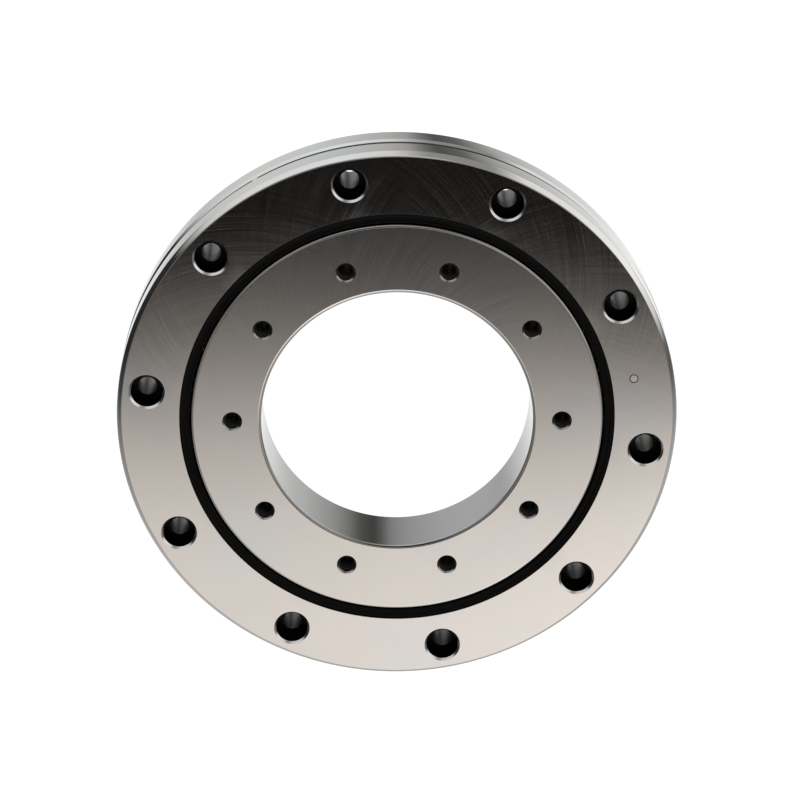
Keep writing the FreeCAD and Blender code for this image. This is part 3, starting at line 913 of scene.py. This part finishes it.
def ground_steel(name, roughness, scatter):
    """Ground bearing steel: crossing arcs on the faces, and marks round the rim and the bore.

    Deeper marks scatter more light, which shows where the face mirrors something dark. scatter is how much
    their roughness differs, as a part of the whole.
    """
    finish = finish_of()
    rings, _ = sizes()
    steel = Shader(name)
    position = steel.position()
    x, y, z = steel.separate(position)
    flat = steel.combine(x, y, 0.0)
    radius = steel.vector("LENGTH", flat, output="Value")

    forward = grinding_marks(steel, flat, radius, *FORWARD_MARKS)
    backward = grinding_marks(steel, flat, radius, *BACKWARD_MARKS)
    patches = steel.noise(position, PATCH_SCALE, 2)
    face_lay = steel.blend(steel.remap(patches, *LAY_RANGE, *LAY_SHARE), forward, backward)
    around, along = ROUND_MARKS
    drawn_out = steel.combine(steel.times(x, around), steel.times(y, around), steel.times(z, along))
    round_lay = steel.noise(drawn_out, 1.0, 3, 0.6)
    up = steel.normal_up()
    is_wall = steel.math("LESS_THAN", up, WALL_UP)
    lay = steel.blend(steel.math("GREATER_THAN", up, FACE_UP), round_lay, face_lay)

    # Zones with painted shade, darker than the ground faces: (the way they face, where they are, their tone)
    is_chamfer = steel.math("COMPARE", up, *CHAMFER_UP)
    is_steep = steel.math("LESS_THAN", up, STEEP_UP)
    at_rim = steel.math("GREATER_THAN", radius, rings.outside - WALL_REACH)
    at_bore = steel.math("LESS_THAN", radius, rings.bore + WALL_REACH)
    by_bore = steel.math("LESS_THAN", radius, rings.bore + BORE_CHAMFER_REACH)
    by_shoulder = steel.math("COMPARE", radius, rings.shoulder, SHOULDER_REACH)
    by_seal = steel.math("COMPARE", radius, rings.seal_mouth, SEAL_MOUTH_REACH)
    groove_floor = rings.outside - rings.oil_groove_depth
    in_groove = steel.times(is_wall, steel.math("COMPARE", radius, groove_floor, WALL_REACH))
    painted_shade_zones = [
        (is_wall, at_rim, RIM_PAINTED_SHADE),
        (is_wall, at_bore, BORE_PAINTED_SHADE),
        (is_chamfer, by_bore, BORE_CHAMFER_PAINTED_SHADE),
        (is_steep, by_shoulder, SHOULDER_PAINTED_SHADE),
        (is_chamfer, by_seal, SEAL_MOUTH_PAINTED_SHADE),
        (in_groove, 1.0, GROOVE_PAINTED_SHADE),
    ]
    haze = steel.noise(position, HAZE_SCALE, 3, 0.6)
    tone = steel.times(steel.spread(lay, *GROUND_SHARES), steel.spread(haze, *GROUND_SHARES))
    for facing, place_at, level in painted_shade_zones:
        tone = steel.times(tone, steel.blend(steel.times(facing, place_at), 1.0, level))
    stained = steel.remap(patches, *STAIN_RANGE, 0.0, STAIN_STRENGTH, smooth=True)
    clean = tuple(finish.steel)
    base = steel.tint(stained, clean, tuple(part * by for part, by in zip(clean, STAIN)))
    steel.feed("Base Color", steel.vector("SCALE", base, scale=tone))
    # Painted shade: the groove's floor is near black and not metal
    steel.feed("Metallic", steel.math("SUBTRACT", 1.0, in_groove))
    steel.feed("Specular IOR Level", SCALE_SPECULAR)
    limits = roughness * (1 - scatter), roughness * (1 + scatter)
    steel.feed("Roughness", steel.remap(lay, *MARK_RANGE, *limits))
    steel.bump(lay, finish.mark_depth)
    return steel.material


def drilled_steel(name, brightness, mouth_brightness=1.0, mouth=0.0, black_above=1.0):
    """Dark walls of a hole, quite black above a height. Its mouths were cut last, and are bright.

    mouth is how deep the mouths' chamfers reach from the faces.
    """
    finish = finish_of()
    rings, _ = sizes()
    steel = Shader(name)
    position = steel.position()
    mottle = steel.noise(position, MOTTLE_SCALE, 2)
    _, _, z = steel.separate(position)
    depth = steel.math("MINIMUM", z, steel.math("SUBTRACT", rings.width, z))
    is_mouth = steel.math("LESS_THAN", depth, mouth + MOUTH_SLACK if mouth else 0.0)
    is_black = steel.math("GREATER_THAN", z, black_above - SCALE_SLACK)
    walls = steel.mottled(mottle, shade(finish.steel, brightness), *WALL_SHARES)
    bright = steel.mottled(mottle, shade(finish.steel, mouth_brightness), *MOUTH_SHARES)
    steel.feed("Base Color", steel.tint(is_mouth, steel.tint(is_black, walls, BLACK_SCALE), bright))
    steel.feed("Metallic", steel.math("MAXIMUM", is_mouth, steel.math("SUBTRACT", 1.0, is_black)))
    steel.feed("Specular IOR Level", DRILLED_SPECULAR)
    rough = steel.spread(mottle, *DRILLED_ROUGHNESS_SHARES)
    steel.feed("Roughness", steel.times(rough, steel.blend(is_mouth, DRILLED_ROUGHNESS, MOUTH_ROUGHNESS)))
    return steel.material


def pin_steel():
    """The pin's end, ground off with the face but softer. Its side is as dark as its bore."""
    finish = finish_of()
    steel = Shader("pin_steel")
    steel.feed("Metallic", 1.0)
    mottle = steel.noise(steel.position(), GRAIN_SCALE, 2)
    ground = steel.mottled(mottle, finish.steel, *PIN_SHARES)
    is_end = steel.math("GREATER_THAN", steel.normal_up(), FACE_UP)
    steel.feed("Base Color", steel.tint(is_end, shade(finish.steel, finish.seam_tone), ground))
    steel.feed("Roughness", steel.spread(mottle, *PIN_ROUGHNESS))
    return steel.material


def roller_steel():
    """Rollers, ground and polished."""
    steel = Shader("roller_steel")
    steel.feed("Metallic", 1.0)
    haze = steel.noise(steel.position(), ROLLER_SCALE, 3)
    steel.feed("Base Color", steel.tint(haze, ROLLER_DARK, ROLLER_LIGHT))
    steel.feed("Roughness", steel.spread(haze, *ROLLER_ROUGHNESS))
    return steel.material


def seal_rubber():
    """Moulded black rubber."""
    finish = finish_of()
    rubber = Shader("seal_rubber")
    rubber.feed("Specular IOR Level", RUBBER_SPECULAR)
    grain = rubber.noise(rubber.position(), GRAIN_SCALE, 3)
    rubber.feed("Base Color", rubber.mottled(grain, finish.rubber, *RUBBER_SHARES))
    limits = [finish.rubber_roughness * part for part in RUBBER_ROUGHNESS_SHARES]
    rubber.feed("Roughness", rubber.spread(grain, *limits))
    x, y, _ = rubber.separate(rubber.position())
    radius = rubber.vector("LENGTH", rubber.combine(x, y, 0.0), output="Value")
    rings = rubber.math("SINE", rubber.times(radius, math.tau / MOULD_RING_PITCH))
    rubber.bump(rubber.math("MULTIPLY_ADD", rings, MOULD_RING_HEIGHT, grain), RUBBER_GRAIN_DEPTH)
    return rubber.material


def separator_plastic():
    """Moulded plastic."""
    finish = finish_of()
    plastic = Shader("separator_plastic")
    grain = plastic.noise(plastic.position(), PLASTIC_SCALE, 2)
    plastic.feed("Base Color", plastic.mottled(grain, finish.plastic, *PLASTIC_SHARES))
    plastic.feed("Roughness", plastic.spread(grain, *PLASTIC_ROUGHNESS))
    return plastic.material


# Camera and light are turned by this about +Z, in degrees
STUDIO_TURN = 9.98
# Where the photograph was taken from, before that turn: the place from the middle of the upper face, and the
# picture's right, down and forward
CAMERA_PLACE = 4.74 * MM, 359.91 * MM, 906.06 * MM
CAMERA_RIGHT = 0.99889, -0.04505, 0.01375
CAMERA_DOWN = -0.04696, -0.93051, 0.36324
CAMERA_FORWARD = -0.00357, -0.36349, -0.93159
SENSOR_WIDTH = 36
# The photograph's centre beside the lens's axis, as a part of the picture's width
LENS_SHIFT = -0.0006, 0.0009
FLOOR_SIZE = 12


def camera_at():
    """Where the photograph was taken from, as (place, right, up, backward)."""
    turn_by = Matrix.Rotation(math.radians(STUDIO_TURN), 3, "Z")
    place_at = turn_by @ Vector(CAMERA_PLACE) + Vector((0, 0, sizes()[0].width))
    right, down, forward = (turn_by @ Vector(axis) for axis in (CAMERA_RIGHT, CAMERA_DOWN, CAMERA_FORWARD))
    return place_at, right, -down, -forward


# The studio's light is a function of direction. Angles are in degrees. The heading is measured about +Z
# from STUDIO_TURN, and the camera stands at a heading of 90. The brightest light is LIGHT_FULL.
LIGHT_FULL = 1.6
# Walls, seen level: (heading, light)
WALLS = [(0, 0.95), (12, 1.4), (50, 1.15), (60, 0.4), (78, 0.4), (88, 1.0), (104, 1.2), (131, 1.1),
         (144, 0.88), (156, 0.04), (182, 0.03), (193, 0.08), (203, 0.3), (213, 0.45), (231, 0.7), (262, 0.6),
         (300, 0.6), (325, 0.6), (337, 0.4), (347, 0.14), (353, 0.2), (360, 0.95)]
# Backdrop under and behind the bearing, seen steeply: (heading, light)
BACKDROP = [(0, 0.95), (23, 0.74), (36, 0.6), (47, 0.38), (56, 0.18), (67, 0.12), (74, 0.26), (81, 0.53),
            (92, 0.68), (103, 0.77), (125, 0.89), (148, 0.9), (165, 0.85), (184, 0.74), (195, 0.8),
            (205, 0.92), (215, 0.96), (226, 1.03), (250, 1.05), (300, 1.05), (318, 1.1), (330, 1.03),
            (345, 0.96), (360, 0.92)]
# Ceiling, from the camera's side over to the far side: (angle from straight up, light)
CEILING = [(-65, 1.1), (-55, 0.6), (-38, 0.3), (-33, 0.03), (-10, 0.03), (-7, 0.35), (7, 0.35), (11, 0.012),
           (18.3, 0.012), (18.9, 0.03), (19.4, 0.085), (20.4, 0.24), (21.0, 0.42), (21.7, 0.64),
           (22.5, 0.87), (23.2, 1.02), (24.0, 1.11), (25.0, 1.17), (27, 1.2), (34, 1.25), (65, 0.9)]
CEILING_REACH = 65
# Degrees by which the ceiling's light lies nearer on the one side, and its gain in light there
CEILING_LEAN = 4
CEILING_GAIN = 1.5
# High light on the two sides, towards -X and towards +X
SIDE_LIGHTS = 0.25, 0.4
# They come in between these parts of the direction along X, and change over within SIDE_TURN of its middle
SIDE_EDGE = 0.16, 0.35
SIDE_TURN = 0.3
# Heights between which the backdrop gives way to the walls, and the walls to the ceiling
BACKDROP_EDGE = -62, -48
CEILING_EDGE = 25, 32
# Tints of the walls and of the ceiling's light
COOL = (0.985, 0.995, 1.0)
WARM = (1.04, 0.985, 0.935)


def light_ramp(light, value, stops, first, last):
    """The light at a value that runs from 0 to 1 while the stops' angles run from first to last."""
    return light.ramp(value, [((angle - first) / (last - first), level / LIGHT_FULL)
                              for angle, level in stops])


def over_edge(light, z, edge):
    """From 0 to 1 while the direction rises through an edge's two heights."""
    low, high = (math.sin(math.radians(angle)) for angle in edge)
    return light.remap(z, low, high, 0.0, 1.0, smooth=True)


def studio_light():
    """A world that is bright walls, a backdrop and a ceiling with one soft light beyond the bearing."""
    world = bpy.data.worlds.new("studio")
    world.use_nodes = True
    light = Nodes(world.node_tree)
    background = world.node_tree.nodes["Background"]
    direction = light.turn_z(light.node("TexCoord").outputs["Generated"], math.radians(-STUDIO_TURN))
    x, y, z = light.separate(direction)
    turns = light.math("DIVIDE", light.math("ARCTAN2", y, x), math.tau)
    heading = light.math("FRACT", light.math("ADD", turns, 1.0))
    walls = light_ramp(light, heading, WALLS, 0, 360)
    backdrop = light_ramp(light, heading, BACKDROP, 0, 360)
    over = light.math("ARCTAN2", light.times(y, -1.0), z)
    over = light.math("SUBTRACT", over, light.times(x, math.radians(CEILING_LEAN)))
    place_over = light.remap(over, -math.radians(CEILING_REACH), math.radians(CEILING_REACH), 0.0, 1.0)
    ceiling = light_ramp(light, place_over, CEILING, -CEILING_REACH, CEILING_REACH)
    ceiling = light.times(ceiling, light.math("MULTIPLY_ADD", x, CEILING_GAIN, 1.0))
    aside = light.remap(light.math("ABSOLUTE", x), *SIDE_EDGE, 0.0, 1.0, smooth=True)
    left, right = (level / LIGHT_FULL for level in SIDE_LIGHTS)
    ceiling = light.blend(aside, ceiling, light.remap(x, -SIDE_TURN, SIDE_TURN, left, right))
    below = light.blend(over_edge(light, z, BACKDROP_EDGE), backdrop, walls)
    upper = over_edge(light, z, CEILING_EDGE)
    level = light.blend(upper, below, ceiling)
    light.link(light.times(level, LIGHT_FULL), background.inputs["Strength"])
    light.link(light.tint(upper, COOL, WARM), background.inputs["Color"])
    bpy.context.scene.world = world


class BEARING_OT_studio(bpy.types.Operator):
    """Add the floor, the light and the camera"""

    bl_idname = "bearing.studio"
    bl_label = "Studio"

    def execute(self, context):
        scene = context.scene
        studio = scene.bearing_studio
        scene.view_settings.view_transform = "Standard"
        place_at, right, up, backward = camera_at()
        select_only()
        bpy.ops.object.camera_add()
        camera = context.object
        camera.name = "photo_camera"
        columns = Matrix((right, up, backward)).transposed()
        camera.matrix_world = Matrix.Translation(place_at) @ columns.to_4x4()
        camera.data.lens = studio.camera_lens
        camera.data.sensor_width = SENSOR_WIDTH
        camera.data.shift_x, camera.data.shift_y = LENS_SHIFT
        scene.camera = camera

        bpy.ops.mesh.primitive_plane_add(size=FLOOR_SIZE, location=(0, 0, 0))
        floor = named("floor")
        paint = Shader("floor_paint")
        paint.feed("Base Color", (*studio.floor, 1))
        paint.feed("Roughness", FLOOR_ROUGHNESS)
        paint.feed("Specular IOR Level", 0.0)
        paint.feed("Emission Color", (1, 1, 1, 1))
        paint.feed("Emission Strength", studio.floor_glow)
        floor.data.materials.append(paint.material)
        # The photograph's bearing stands clear of its backdrop, so its steel doesn't mirror this floor
        floor.visible_glossy = False
        studio_light()
        return {"FINISHED"}


class BEARING_PT_panel(bpy.types.Panel):
    """Lists the pieces"""

    bl_label = "Crossed Roller Bearing"
    bl_idname = "BEARING_PT_panel"
    bl_space_type = "VIEW_3D"
    bl_region_type = "UI"
    bl_category = "Bearing"

    def draw(self, context):
        for operator in OPERATORS:
            self.layout.operator(operator.bl_idname)
        for group in GROUPS:
            box = self.layout.box()
            box.label(text=group.__doc__)
            settings = getattr(context.scene, GROUPS[group])
            for name in group.__annotations__:
                box.prop(settings, name)


OPERATORS = [
    BEARING_OT_outer_ring,
    BEARING_OT_filling_plug,
    BEARING_OT_locking_pin,
    BEARING_OT_inner_ring,
    BEARING_OT_seals,
    BEARING_OT_rollers,
    BEARING_OT_studio,
]
GROUPS = {
    BearingRingSizes: "bearing_rings",
    BearingHoleSizes: "bearing_holes",
    BearingSealSizes: "bearing_seals",
    BearingFinish: "bearing_finish",
    BearingStudio: "bearing_studio",
}


def register():
    for group, name in GROUPS.items():
        bpy.utils.register_class(group)
        setattr(bpy.types.Scene, name, bpy.props.PointerProperty(type=group))
    for operator in OPERATORS:
        bpy.utils.register_class(operator)
    bpy.utils.register_class(BEARING_PT_panel)


def unregister():
    bpy.utils.unregister_class(BEARING_PT_panel)
    for operator in reversed(OPERATORS):
        bpy.utils.unregister_class(operator)
    for group, name in GROUPS.items():
        delattr(bpy.types.Scene, name)
        bpy.utils.unregister_class(group)


def main():
    register()
    bpy.ops.bearing.outer_ring()
    bpy.ops.bearing.filling_plug()
    bpy.ops.bearing.locking_pin()
    bpy.ops.bearing.inner_ring()
    bpy.ops.bearing.seals()
    bpy.ops.bearing.rollers()
    bpy.ops.bearing.studio()


if __name__ == "__main__":
    main()
